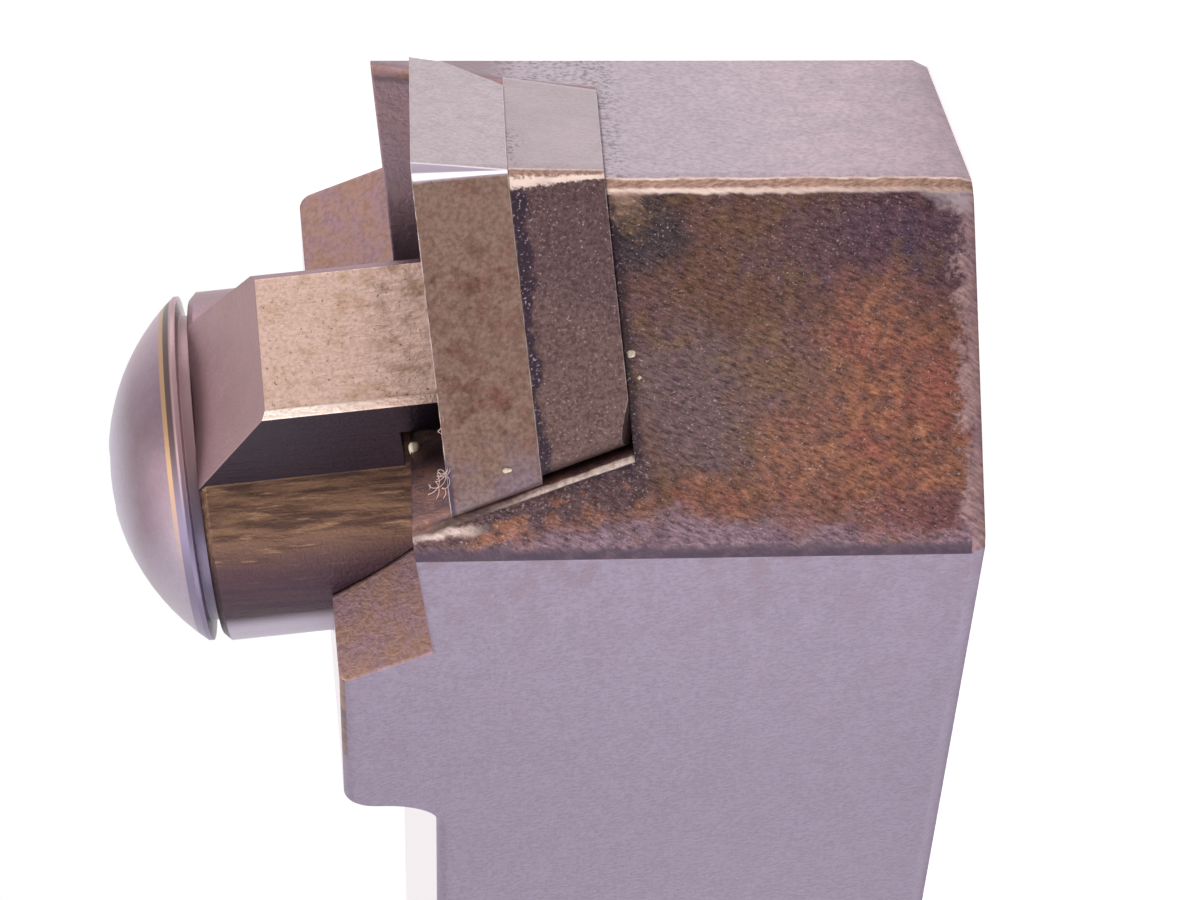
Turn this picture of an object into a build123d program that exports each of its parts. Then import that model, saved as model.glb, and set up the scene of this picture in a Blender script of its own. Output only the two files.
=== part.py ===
from build123d import *
from math import cos, radians, sin, sqrt, tan
import os

# A neutral turning tool holder: a square steel shank whose head carries a square
# indexable insert, corner forward, held down by a hub-and-finger clamp.
#
# Frame: X runs along the shank, positive towards the cutting corner. Z is up from the
# shank's base. The origin is under the middle of the overall length. All lengths are in
# millimetres and all angles in degrees.

os.makedirs("parts", exist_ok=True)

# ---------------------------------------------------------------- driving dimensions

# Shank: three-quarter-inch square bar, four and a half inches over all.
SHANK_WIDTH = 19.05
SHANK_HEIGHT = 19.05
OVERALL_LENGTH = 114.3
REAR_CHAMFER = 1.0
TOP_EDGE_ROUND = 0.4

# Insert: half-inch square, eighth-inch thick, without a hole, ground at 11 degrees.
INSERT_EDGE = 12.7
INSERT_THICKNESS = 3.175
FLANK_RELIEF = 11.0
NOSE_RADIUS = 0.8
BACK_RAKE = 4.0
INSERT_CHIP_RISE = 2.85
INSERT_CHIP_LENGTH = 2.35

# Shim under the insert, set back a little behind the insert's flanks.
SHIM_THICKNESS = 3.175
SHIM_SETBACK = 0.12
SHIM_NOSE_RADIUS = 1.2
SHIM_CHIP_RISE = 0.7
SHIM_CHIP_LENGTH = 2.3

# Shim screw, countersunk flush below the shim's top.
SHIM_SCREW_RADIUS = 1.75
SHIM_SCREW_HEAD_RADIUS = 3.2
SHIM_SCREW_CONE_HEIGHT = 1.4
SHIM_SCREW_LAND = 0.2
SHIM_SCREW_SINK = 0.25
SHIM_SCREW_LENGTH = 9.0
SHIM_SCREW_SOCKET = 2.0
SHIM_SCREW_SOCKET_DEPTH = 1.0
SHIM_HOLE_CLEARANCE = 0.15

# Head of the holder round the pocket.
HEAD_RELIEF = 6.5
HEAD_STEP = 0.35
HEAD_NOSE_RADIUS = 1.0
HEAD_CORNER_CHAMFER = 0.35
BASE_CHAMFER_WIDTH = 0.25
BASE_CHAMFER_HEIGHT = 0.5
WALL_RISE = 1.4
WALL_EDGE_RADIUS = 0.5
CORNER_RELIEF_RADIUS = 0.9

# Boss that carries the clamp's hub, with a notch each side of the finger.
BOSS_RISE = 3.4
BOSS_LENGTH = 12.55
BOSS_BACK_ROUND = 1.4
BOSS_ROOT_RADIUS = 2.3
BOSS_BACK_LEAN = 10.0
NOTCH_SETBACK = 0.95
NOTCH_LEAN = 34.0

# Clamp: a round hub that slides in the bore, and a finger over the insert.
HUB_SETBACK = 4.5
HUB_RADIUS = 6.3
HUB_CLEARANCE = 0.05
HUB_FOOT_GAP = 0.2
BORE_FLOOR_RISE = 0.3
CLAMP_HEIGHT = 9.03
CLAMP_EDGE_CHAMFER = 0.25
FINGER_REACH = 10.0
FINGER_TIP_WIDTH = 5.5
FINGER_SPLAY = 5.0
FINGER_TIP_HEIGHT = 6.2
FINGER_SLOPE = 31.0
FINGER_PAD = 2.1
FINGER_WALL_GAP = 0.3

# Clamp screw: M6 with a tall domed head.
SCREW_RADIUS = 3.0
SCREW_HOLE_CLEARANCE = 0.2
THREAD_CLEARANCE = 0.05
SCREW_LENGTH = 22.0
SCREW_TIP_CHAMFER = 0.8
SCREW_HEAD_RADIUS = 6.22
SCREW_LIP = 0.16
SCREW_DOME_HEIGHT = 2.95
SCREW_COLLAR_RADIUS = 5.5
SCREW_COLLAR_HEIGHT = 0.42
SCREW_SOCKET = 3.0
SCREW_SOCKET_DEPTH = 2.2
TAPPED_HOLE_SPARE = 2.0

# Coil spring in a recess under the hub.
SPRING_WIRE = 0.8
SPRING_WIRE_SIDES = 8
SPRING_TURNS = 4.0
SPRING_RECESS_RADIUS = 4.9
SPRING_RECESS_DEPTH = 5.0
SPRING_SIDE_GAP = 0.15
SPRING_END_GAP = 0.05

# ---------------------------------------------------------------- seat frame

# The seat frame's origin is the insert's sharp corner, before the nose is rounded. Its x
# runs back over the insert and its z is square to the insert's top. Pieces of the head
# are drawn in it and then carried to their place with on_seat.
rake = radians(BACK_RAKE)
corner_x = OVERALL_LENGTH / 2 + NOSE_RADIUS * (sqrt(2) - 1) * cos(rake)
seat = Plane(
    origin=(corner_x, 0, SHANK_HEIGHT),
    x_dir=(-cos(rake), 0, -sin(rake)),
    z_dir=(-sin(rake), 0, cos(rake)),
)

flank_slope = tan(radians(FLANK_RELIEF))
seat_depth = INSERT_THICKNESS + SHIM_THICKNESS
insert_middle = INSERT_EDGE / sqrt(2)
back_corner = INSERT_EDGE * sqrt(2)
hub_x = back_corner + HUB_SETBACK
hub_foot = BORE_FLOOR_RISE + HUB_FOOT_GAP
boss_top = SHANK_HEIGHT + BOSS_RISE


def on_seat(shape):
    """A shape drawn in the seat frame, carried to its place in the part's frame."""
    return seat.location * shape


def turned(outline, x, z):
    """A solid of revolution from a face in the XZ plane, on an axis at x with zero at z."""
    return Pos(x, 0, z) * revolve(outline, Axis.Z)


def closed_face(*points):
    """A flat face in the XZ plane from its corners, each given as x and z."""
    return Plane.XZ * make_face(Polyline(*points, close=True))


def upright(radius, x, bottom, top):
    """A cylinder square to the seat, between two heights over the insert's top."""
    height = top - bottom
    return Pos(x, 0, bottom) * Cylinder(radius, height, align=(Align.CENTER, Align.CENTER, Align.MIN))


def hexagon(across_flats, depth, x, top):
    """A hexagonal socket's space, depth deep from a height over the insert's top."""
    outline = RegularPolygon(across_flats / 2, 6, major_radius=False)
    return Pos(x, 0, top) * extrude(outline, -depth)


def tapered_square(top, bottom, setback, radius):
    """A square block between two depths whose four flanks lean in at the flank relief."""
    sections = []
    for depth in (top, bottom):
        edge = INSERT_EDGE - 2 * (setback + depth * flank_slope)
        outline = Rectangle(edge, edge, rotation=45)
        outline = fillet(outline.vertices(), radius)
        sections.append(Pos(insert_middle, 0, -depth) * outline)
    return loft(sections, ruled=True)


def broken_corner(side, depth, rise, length):
    """What has broken off one side corner of the tapered square, down to a depth.

    The break is flat. It starts on the front flank's lower edge at length from the
    corner, meets the corner's own edge at rise above its foot, and comes back down on
    the rear flank at two thirds of length.
    """
    half = (INSERT_EDGE - 2 * depth * flank_slope) / sqrt(2)
    foot = Vector(insert_middle, side * half, -depth)
    front = foot + Vector(-1, -side, 0).normalized() * length
    rear = foot + Vector(1, -side, 0).normalized() * length * 2 / 3
    top = foot + Vector(0, side * rise * flank_slope * sqrt(2), rise)
    outward = (front - top).cross(rear - top).normalized()
    if outward.dot(foot - top) < 0:
        outward = outward * -1
    span = 4 * length
    block = Box(span, span, span, align=(Align.CENTER, Align.CENTER, Align.MIN))
    return Plane(origin=top, z_dir=outward).location * block


def nearest_edge(shape, point):
    """The edge of a shape that lies nearest to a point."""
    return min(shape.edges(), key=lambda edge: edge.distance_to(point))


# ---------------------------------------------------------------- insert and shim


def make_insert():
    """Square insert, with its nose radius on all corners and one lower corner broken."""
    blank = tapered_square(0, INSERT_THICKNESS, 0, NOSE_RADIUS)
    chip = broken_corner(-1, INSERT_THICKNESS, INSERT_CHIP_RISE, INSERT_CHIP_LENGTH)
    return blank - chip


def countersunk(land, head_radius, radius, length):
    """Outline of a countersunk screw or its hole, with zero at the top of the cone."""
    return closed_face(
        (0, land),
        (head_radius, land),
        (head_radius, 0),
        (radius, -SHIM_SCREW_CONE_HEIGHT),
        (radius, -length),
        (0, -length),
    )


shim_screw_top = -INSERT_THICKNESS - SHIM_SCREW_SINK
shim_cone_top = shim_screw_top - SHIM_SCREW_LAND


def make_shim():
    """Shim whose flanks carry on those of the insert, with the hole for its screw."""
    blank = tapered_square(INSERT_THICKNESS, seat_depth, SHIM_SETBACK, SHIM_NOSE_RADIUS)
    hole = countersunk(
        SHIM_SCREW_LAND + SHIM_SCREW_SINK,
        SHIM_SCREW_HEAD_RADIUS + SHIM_HOLE_CLEARANCE,
        SHIM_SCREW_RADIUS + SHIM_HOLE_CLEARANCE,
        SHIM_SCREW_LENGTH,
    )
    chip = broken_corner(1, seat_depth, SHIM_CHIP_RISE, SHIM_CHIP_LENGTH)
    return blank - turned(hole, insert_middle, shim_cone_top) - chip


def make_shim_screw():
    """Countersunk socket screw, its head just below the shim's top."""
    outline = countersunk(
        SHIM_SCREW_LAND, SHIM_SCREW_HEAD_RADIUS, SHIM_SCREW_RADIUS, SHIM_SCREW_LENGTH
    )
    socket = hexagon(SHIM_SCREW_SOCKET, SHIM_SCREW_SOCKET_DEPTH, insert_middle, shim_screw_top)
    return turned(outline, insert_middle, shim_cone_top) - socket


# ---------------------------------------------------------------- clamp, screw, spring


def make_clamp():
    """Hub and finger in one piece, with the screw's hole and the spring's recess.

    The finger narrows to its tip, slopes down on top, and touches the insert only with
    the pad at its tip. Behind the pad it passes over the pocket's walls.
    """
    tip_x = hub_x - FINGER_REACH
    tip_half = FINGER_TIP_WIDTH / 2
    root_half = tip_half + FINGER_REACH * tan(radians(FINGER_SPLAY))
    plan = make_face(
        Polyline(
            (tip_x, -tip_half),
            (hub_x, -root_half),
            (hub_x, root_half),
            (tip_x, tip_half),
            close=True,
        )
    )
    finger = extrude(plan, CLAMP_HEIGHT)
    front_edges = finger.edges().filter_by(Axis.Z).group_by(Axis.X)[0]
    finger = chamfer(front_edges, CLAMP_EDGE_CHAMFER)
    underside = WALL_RISE + FINGER_WALL_GAP
    arch = Box(
        2 * FINGER_REACH,
        2 * FINGER_REACH,
        2 * underside,
        align=(Align.MIN, Align.CENTER, Align.CENTER),
    )
    finger = finger - Pos(tip_x + FINGER_PAD, 0, 0) * arch
    hub = upright(HUB_RADIUS, hub_x, hub_foot, CLAMP_HEIGHT)
    hub = chamfer(hub.edges().sort_by(Axis.Z)[-1], CLAMP_EDGE_CHAMFER)

    slope = radians(FINGER_SLOPE)
    slope_plane = Plane(
        origin=(tip_x, 0, FINGER_TIP_HEIGHT),
        z_dir=(-sin(slope), 0, cos(slope)),
    )
    clamp = split(finger + hub, bisect_by=slope_plane, keep=Keep.BOTTOM)

    screw_hole = upright(SCREW_RADIUS + SCREW_HOLE_CLEARANCE, hub_x, 0, CLAMP_HEIGHT)
    recess_top = hub_foot + SPRING_RECESS_DEPTH
    recess = upright(SPRING_RECESS_RADIUS, hub_x, hub_foot, recess_top)
    return clamp - screw_hole - recess


def make_clamp_screw():
    """Domed socket screw: a spherical cap with a thin lip over a narrower collar."""
    sphere = (SCREW_HEAD_RADIUS**2 + SCREW_DOME_HEIGHT**2) / (2 * SCREW_DOME_HEIGHT)
    lip_top = SCREW_COLLAR_HEIGHT + SCREW_LIP
    apex = lip_top + SCREW_DOME_HEIGHT
    half_radius = SCREW_HEAD_RADIUS / 2
    half_height = apex - sphere + sqrt(sphere**2 - half_radius**2)
    outline = Polyline(
        (0, apex),
        (0, -SCREW_LENGTH),
        (SCREW_RADIUS - SCREW_TIP_CHAMFER, -SCREW_LENGTH),
        (SCREW_RADIUS, -SCREW_LENGTH + SCREW_TIP_CHAMFER),
        (SCREW_RADIUS, 0),
        (SCREW_COLLAR_RADIUS, 0),
        (SCREW_COLLAR_RADIUS, SCREW_COLLAR_HEIGHT),
        (SCREW_HEAD_RADIUS, SCREW_COLLAR_HEIGHT),
        (SCREW_HEAD_RADIUS, lip_top),
    )
    outline += ThreePointArc(
        (SCREW_HEAD_RADIUS, lip_top), (half_radius, half_height), (0, apex)
    )
    screw = turned(Plane.XZ * make_face(outline), hub_x, CLAMP_HEIGHT)
    return screw - hexagon(SCREW_SOCKET, SCREW_SOCKET_DEPTH, hub_x, CLAMP_HEIGHT + apex)


def make_clamp_spring():
    """Coil spring that stands on the bore's floor and fills the recess under the hub."""
    coil_radius = SPRING_RECESS_RADIUS - SPRING_SIDE_GAP - SPRING_WIRE / 2
    recess_top = hub_foot + SPRING_RECESS_DEPTH
    margin = SPRING_END_GAP + SPRING_WIRE / 2
    rise = recess_top - BORE_FLOOR_RISE - 2 * margin
    path = Helix(pitch=rise / SPRING_TURNS, height=rise, radius=coil_radius)
    wire = RegularPolygon(SPRING_WIRE / 2, SPRING_WIRE_SIDES)
    section = Plane(origin=path @ 0, z_dir=path % 0) * wire
    coil = sweep(section, path=path, is_frenet=True)
    return Pos(hub_x, 0, BORE_FLOOR_RISE + margin) * coil


# ---------------------------------------------------------------- holder body


def side_outline():
    """The holder's outline seen from the side, before the head's nose is cut."""
    notch_foot = seat.from_local_coords((back_corner + NOTCH_SETBACK, 0, WALL_RISE))
    over_corner = seat.from_local_coords((0, 0, WALL_RISE))
    notch_run = (boss_top - notch_foot.Z) * tan(radians(NOTCH_LEAN))
    boss_front = notch_foot.X - notch_run
    boss_back = boss_front - BOSS_LENGTH
    boss_foot = boss_back - BOSS_RISE * tan(radians(BOSS_BACK_LEAN))
    rear = -OVERALL_LENGTH / 2
    outline = make_face(
        Polyline(
            (corner_x, 0),
            (over_corner.X, over_corner.Z),
            (notch_foot.X, notch_foot.Z),
            (boss_front, boss_top),
            (boss_back, boss_top),
            (boss_foot, SHANK_HEIGHT),
            (rear, SHANK_HEIGHT),
            (rear, 0),
            close=True,
        )
    )
    for x, z, radius in (
        (boss_back, boss_top, BOSS_BACK_ROUND),
        (boss_foot, SHANK_HEIGHT, BOSS_ROOT_RADIUS),
    ):
        corner = outline.vertices().sort_by_distance((x, z, 0))[0]
        outline = fillet(corner, radius)
    return Plane.XZ * outline


def head_face(side):
    """The plane of one front face of the head, its z pointing out of the steel.

    It leans in towards the base at the head's relief, and at the pocket's floor it stands
    a step behind the shim's lower edge.
    """
    inset = seat_depth * flank_slope + SHIM_SETBACK + HEAD_STEP
    start = seat.from_local_coords((inset * sqrt(2), 0, -seat_depth))
    lean = radians(HEAD_RELIEF)
    flat = cos(lean) / sqrt(2)
    return Plane(origin=start, z_dir=(flat, side * flat, -sin(lean)))


def pocket_space():
    """The V pocket: what the insert and shim slide into, open to the front and above."""
    run = 3 * INSERT_EDGE
    sections = []
    for depth in (-2 * WALL_RISE, seat_depth):
        corner = back_corner - depth * flank_slope * sqrt(2)
        square = Rectangle(run, run, rotation=45)
        sections.append(Pos(corner - run / sqrt(2), 0, -depth) * square)
    return loft(sections, ruled=True)


def corner_relief():
    """A hole drilled down the pocket's back corner, so that the insert's edge is free."""
    sections = []
    for depth in (-2 * WALL_RISE, seat_depth):
        corner = back_corner - depth * flank_slope * sqrt(2)
        sections.append(Pos(corner - CORNER_RELIEF_RADIUS / 2, 0, -depth) * Circle(CORNER_RELIEF_RADIUS))
    return loft(sections, ruled=True)


def make_holder_body():
    """Shank and head in one piece, with its pocket, bore and tapped holes."""
    body = extrude(side_outline(), SHANK_WIDTH / 2, both=True)
    body = chamfer(body.faces().sort_by(Axis.X)[0].edges(), REAR_CHAMFER)
    # The boss's long edges run on smoothly into the shank's, so both are rounded here.
    boss_face = body.faces().filter_by(Axis.Z).sort_by(Axis.Z)[-1]
    body = fillet(boss_face.edges().filter_by(Axis.X), TOP_EDGE_ROUND)
    for side in (-1, 1):
        body = split(body, bisect_by=head_face(side), keep=Keep.BOTTOM)
    half_width = SHANK_WIDTH / 2
    nose_edge = body.edges().sort_by_distance((OVERALL_LENGTH, 0, SHANK_HEIGHT / 2))[0]
    body = fillet(nose_edge, HEAD_NOSE_RADIUS)
    for side in (-1, 1):
        corner_edge = body.edges().sort_by_distance(
            (OVERALL_LENGTH / 2, side * 2 * half_width, SHANK_HEIGHT / 2)
        )[0]
        body = chamfer(corner_edge, HEAD_CORNER_CHAMFER)
    base = body.faces().sort_by(Axis.Z)[0]
    base_edges = base.edges().sort_by(Axis.X)[1:]
    body = chamfer(base_edges, BASE_CHAMFER_WIDTH, BASE_CHAMFER_HEIGHT, reference=base)

    bottom_of_screw = CLAMP_HEIGHT - SCREW_LENGTH
    bore = upright(HUB_RADIUS + HUB_CLEARANCE, hub_x, BORE_FLOOR_RISE, CLAMP_HEIGHT)
    tapped_hole = upright(
        SCREW_RADIUS + THREAD_CLEARANCE,
        hub_x,
        bottom_of_screw - TAPPED_HOLE_SPARE,
        CLAMP_HEIGHT,
    )
    shim_hole = upright(
        SHIM_SCREW_RADIUS + THREAD_CLEARANCE,
        insert_middle,
        shim_cone_top - SHIM_SCREW_LENGTH - SHIM_SCREW_RADIUS,
        0,
    )
    cuts = pocket_space() + corner_relief() + bore + tapped_hole + shim_hole
    body = body - on_seat(cuts)
    for side in (-1, 1):
        wall_end = seat.from_local_coords((insert_middle, side * insert_middle, -seat_depth / 2))
        body = fillet(nearest_edge(body, wall_end), WALL_EDGE_RADIUS)
    return body


nodes = {
    "holder_body": make_holder_body(),
    "insert": on_seat(make_insert()),
    "shim": on_seat(make_shim()),
    "shim_screw": on_seat(make_shim_screw()),
    "clamp": on_seat(make_clamp()),
    "clamp_screw": on_seat(make_clamp_screw()),
    "clamp_spring": on_seat(make_clamp_spring()),
}
for name, solid in nodes.items():
    export_step(solid, f"parts/{name}.step")
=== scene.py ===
import math

import bpy
import numpy as np
from mathutils import Matrix, Vector


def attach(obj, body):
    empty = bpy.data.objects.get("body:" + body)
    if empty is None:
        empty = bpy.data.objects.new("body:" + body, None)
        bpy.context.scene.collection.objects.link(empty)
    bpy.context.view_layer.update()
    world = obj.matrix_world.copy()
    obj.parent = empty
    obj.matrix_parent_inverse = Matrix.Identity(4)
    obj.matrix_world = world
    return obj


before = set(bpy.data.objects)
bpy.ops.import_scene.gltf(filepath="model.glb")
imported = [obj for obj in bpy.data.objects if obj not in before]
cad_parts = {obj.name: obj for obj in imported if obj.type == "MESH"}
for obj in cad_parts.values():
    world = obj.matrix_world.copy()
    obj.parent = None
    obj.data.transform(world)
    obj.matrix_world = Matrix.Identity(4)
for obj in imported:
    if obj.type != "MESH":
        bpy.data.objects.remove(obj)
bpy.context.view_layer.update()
scene = bpy.context.scene
scene.view_settings.view_transform = "Standard"


# ---------------------------------------------------------------- camera

# A long lens close to the cutting corner, turned on its side so that the tool's top is at
# the picture's left. It stands to the tool's front, a little above the shank's top.
camera_place = Vector((0.26520, -0.10100, 0.02612))
picture_right = Vector((0.0191, -0.0925, -0.9955))
looking_along = Vector((-0.9155, 0.3986, -0.0546))
lens_length = 209.5

camera_data = bpy.data.cameras.new("camera")
camera_data.sensor_fit = "HORIZONTAL"
camera_data.sensor_width = 36.0
camera_data.lens = lens_length
camera_data.clip_start = 0.01
camera = bpy.data.objects.new("camera", camera_data)
backward = -looking_along.normalized()
picture_up = backward.cross(picture_right).normalized()
picture_right = picture_up.cross(backward)
turn = Matrix((picture_right, picture_up, backward)).transposed().to_4x4()
camera.matrix_world = Matrix.Translation(camera_place) @ turn
scene.collection.objects.link(camera)
scene.camera = camera


# ---------------------------------------------------------------- light

# A white tent: even light from all round, brighter from above and from the left of the
# tool, and a dim opening in the tent at the front, where whoever holds the lens stands.
TENT_WHITE = 1.0
TENT_LIGHT = 0.62
OPENING_DIM = 0.42
OPENING_WIDE = 0.55
OPENING_NARROW = 0.97


def node(tree, kind, links=None, **settings):
    """A new shader node: links gives its sockets a value or joins them to another's."""
    made = tree.nodes.new(kind)
    for name, value in settings.items():
        setattr(made, name, value)
    for name, value in (links or {}).items():
        if isinstance(value, bpy.types.NodeSocket):
            tree.links.new(value, made.inputs[name])
        else:
            made.inputs[name].default_value = value
    return made


def maths(tree, operation, first, second=0.5, clamp=False):
    """The result socket of one Math node."""
    made = node(tree, "ShaderNodeMath", {0: first, 1: second}, operation=operation, use_clamp=clamp)
    return made.outputs[0]


def seen_rays(tree):
    """One for rays of the camera, of a reflection or through glass; and the camera's alone."""
    rays = node(tree, "ShaderNodeLightPath").outputs
    seen = maths(tree, "MAXIMUM", rays["Is Camera Ray"], rays["Is Glossy Ray"])
    return maths(tree, "MAXIMUM", seen, rays["Is Transmission Ray"]), rays["Is Camera Ray"]


world = bpy.data.worlds.new("tent")
world.use_nodes = True
scene.world = world
tree = world.node_tree
tree.nodes.clear()
seen, from_camera = seen_rays(tree)
direction = node(tree, "ShaderNodeTexCoord").outputs["Generated"]
opening = node(
    tree,
    "ShaderNodeVectorMath",
    {0: direction, 1: tuple(backward)},
    operation="DOT_PRODUCT",
)
dimming = node(
    tree,
    "ShaderNodeMapRange",
    {
        "Value": opening.outputs["Value"],
        "From Min": OPENING_WIDE,
        "From Max": OPENING_NARROW,
        "To Min": TENT_WHITE,
        "To Max": OPENING_DIM,
    },
    interpolation_type="SMOOTHSTEP",
)
camera_part = node(
    tree,
    "ShaderNodeMix",
    {"Factor": from_camera, "A": dimming.outputs[0], "B": TENT_WHITE},
    data_type="FLOAT",
)
strength = node(
    tree,
    "ShaderNodeMix",
    {"Factor": seen, "A": TENT_LIGHT, "B": camera_part.outputs[0]},
    data_type="FLOAT",
)
background = node(
    tree,
    "ShaderNodeBackground",
    {"Color": (1.0, 1.0, 1.0, 1.0), "Strength": strength.outputs[0]},
)
node(tree, "ShaderNodeOutputWorld", {"Surface": background.outputs[0]})


def soft_lamp(name, place, target, size, power):
    """A square area lamp of a given width that faces a target."""
    data = bpy.data.lights.new(name, "AREA")
    data.shape = "SQUARE"
    data.size = size
    data.energy = power
    lamp = bpy.data.objects.new(name, data)
    facing = (Vector(target) - Vector(place)).to_track_quat("-Z", "Y")
    lamp.matrix_world = Matrix.Translation(place) @ facing.to_matrix().to_4x4()
    scene.collection.objects.link(lamp)


head_middle = (0.045, 0.0, 0.014)
soft_lamp("lamp_above", (0.02, -0.10, 0.40), head_middle, 0.30, 0.9)
soft_lamp("lamp_left", (-0.02, -0.42, 0.16), head_middle, 0.30, 0.8)
soft_lamp("lamp_right", (0.10, 0.42, 0.18), head_middle, 0.30, 0.6)


# ---------------------------------------------------------------- floor

# White paper that the tool stands on. It lights up by itself for the lens, so that it
# reads as white, and still takes the tool's shadow.
FLOOR_HALF = 2.0
FLOOR_WHITE = (0.9, 0.9, 0.9, 1.0)
FLOOR_GLOW = 0.5

corners = [(-1, -1), (1, -1), (1, 1), (-1, 1)]
floor_mesh = bpy.data.meshes.new("floor")
floor_points = [(x * FLOOR_HALF, y * FLOOR_HALF, 0.0) for x, y in corners]
floor_mesh.from_pydata(floor_points, [], [(0, 1, 2, 3)])
floor = bpy.data.objects.new("floor", floor_mesh)
scene.collection.objects.link(floor)
paper = bpy.data.materials.new("white_paper")
paper.use_nodes = True
tree = paper.node_tree
tree.nodes.clear()
seen, _ = seen_rays(tree)
matt = node(tree, "ShaderNodeBsdfDiffuse", {"Color": FLOOR_WHITE})
glow_strength = maths(tree, "MULTIPLY", seen, FLOOR_GLOW)
glow = node(tree, "ShaderNodeEmission", {"Color": (1.0, 1.0, 1.0, 1.0), "Strength": glow_strength})
both = node(tree, "ShaderNodeAddShader", {0: matt.outputs[0], 1: glow.outputs[0]})
node(tree, "ShaderNodeOutputMaterial", {"Surface": both.outputs[0]})
floor_mesh.materials.append(paper)


# ---------------------------------------------------------------- holder body

# One steel bar, milled and ground: pale lavender flanks, a greyer right front face, and a
# left front face browned by oil and heat, with rust by its base and a rubbed nose with painted
# highlight lines.
GROUND_STEEL = (0.262, 0.204, 0.284, 1.0)
GROUND_STEEL_DARK = (0.190, 0.147, 0.214, 1.0)
SMUDGE_PINK = (0.218, 0.148, 0.196, 1.0)
TOP_STEEL_REFLECTION = (0.810, 0.710, 0.755, 1.0)
FACET_STEEL = (0.322, 0.256, 0.294, 1.0)
FACET_PINK = (0.395, 0.290, 0.330, 1.0)
OIL_BROWN = (0.092, 0.045, 0.032, 1.0)
OIL_MAUVE = (0.084, 0.045, 0.045, 1.0)
OIL_BLUE = (0.064, 0.034, 0.052, 1.0)
OIL_AND_SHADE_INK = (0.040, 0.030, 0.055, 1.0)
OIL_GREEN = (0.032, 0.025, 0.030, 1.0)
OIL_GREY = (0.106, 0.068, 0.070, 1.0)
OIL_OLIVE = (0.118, 0.068, 0.034, 1.0)
OIL_PLUM = (0.092, 0.050, 0.068, 1.0)
WORN_TAN = (0.128, 0.070, 0.056, 1.0)
RUST_BROWN = (0.150, 0.062, 0.044, 1.0)
RUST_ORANGE = (0.262, 0.108, 0.060, 1.0)
RUST_RED = (0.200, 0.066, 0.052, 1.0)
RUST_PLUM = (0.110, 0.046, 0.050, 1.0)
FRONT_FOOT = (0.176, 0.114, 0.144, 1.0)
FOOT_STRIP = (0.290, 0.180, 0.176, 1.0)
BARE_CORNER = (0.360, 0.295, 0.320, 1.0)
NOSE_TAN = (0.275, 0.165, 0.128, 1.0)
BURNISHED_HIGHLIGHT = (0.720, 0.560, 0.500, 1.0)
EDGE_SHADE = (0.060, 0.040, 0.060, 1.0)
WALL_BROWN = (0.250, 0.132, 0.112, 1.0)
WALL_PLUM = (0.120, 0.070, 0.080, 1.0)
FAR_WALL = (0.215, 0.145, 0.170, 1.0)
NOTCH_BROWN = (0.310, 0.186, 0.202, 1.0)
NOTCH_TAN = (0.338, 0.196, 0.154, 1.0)
SPARKLE = (0.480, 0.370, 0.365, 1.0)
SOOT_AND_GAP_SHADE = (0.016, 0.011, 0.017, 1.0)
SOOT_GRAIN = (0.400, 0.320, 0.370, 1.0)
BODY_EDGE_ROUND = 0.00016
ACROSS_FACE = math.sqrt(2)
GRAIN_SLANT = -25.0
HEAD_LEAN = -0.16
SEAT_RAKE = math.radians(4)
INSERT_CORNER_X = 57.4806
INSERT_TOP_Z = 19.05


def new_group(name, inputs, outputs):
    """An empty shader node group with its sockets, and its inner ends of them."""
    group = bpy.data.node_groups.new(name, "ShaderNodeTree")
    for socket_name, kind in inputs:
        group.interface.new_socket(socket_name, in_out="INPUT", socket_type=kind)
    for socket_name, kind in outputs:
        group.interface.new_socket(socket_name, in_out="OUTPUT", socket_type=kind)
    entry = group.nodes.new("NodeGroupInput")
    leave = group.nodes.new("NodeGroupOutput")
    return group, entry.outputs, leave.inputs


def smooth_step(tree, value, low, high):
    """Zero at low, one at high, and smooth between them; low may be the larger."""
    made = node(
        tree,
        "ShaderNodeMapRange",
        {"Value": value, "From Min": low, "From Max": high},
        interpolation_type="SMOOTHSTEP",
    )
    return made.outputs[0]


def levels(tree, value, low, high, least, most):
    """A value carried from the range low to high over to the range least to most."""
    made = node(
        tree,
        "ShaderNodeMapRange",
        {"Value": value, "From Min": low, "From Max": high, "To Min": least, "To Max": most},
    )
    return made.outputs[0]


def product(tree, *values):
    """All of the values multiplied together."""
    total = values[0]
    for value in values[1:]:
        total = maths(tree, "MULTIPLY", total, value)
    return total


def mix_colour(tree, factor, first, second):
    """The colour first where factor is zero, and second where it is one."""
    made = tree.nodes.new("ShaderNodeMix")
    made.data_type = "RGBA"
    for index, value in ((0, factor), (6, first), (7, second)):
        if isinstance(value, bpy.types.NodeSocket):
            tree.links.new(value, made.inputs[index])
        else:
            made.inputs[index].default_value = value
    return made.outputs[2]


def vector_maths(tree, operation, first, second):
    """The node of one Vector Math operation."""
    return node(tree, "ShaderNodeVectorMath", {0: first, 1: second}, operation=operation)


# Blotches: fractal noise, in millimetres, cut between two levels.
blotches, given, out = new_group(
    "blotches",
    [("Place", "NodeSocketVector"), ("Size", "NodeSocketFloat"),
     ("Low", "NodeSocketFloat"), ("High", "NodeSocketFloat")],
    [("Mask", "NodeSocketFloat")],
)
inverse = maths(blotches, "DIVIDE", 1.0, given["Size"])
noise = node(
    blotches,
    "ShaderNodeTexNoise",
    {"Vector": given["Place"], "Scale": inverse, "Detail": 6.0, "Roughness": 0.62},
)
mask = smooth_step(blotches, noise.outputs["Fac"], given["Low"], given["High"])
blotches.links.new(mask, out["Mask"])

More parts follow.
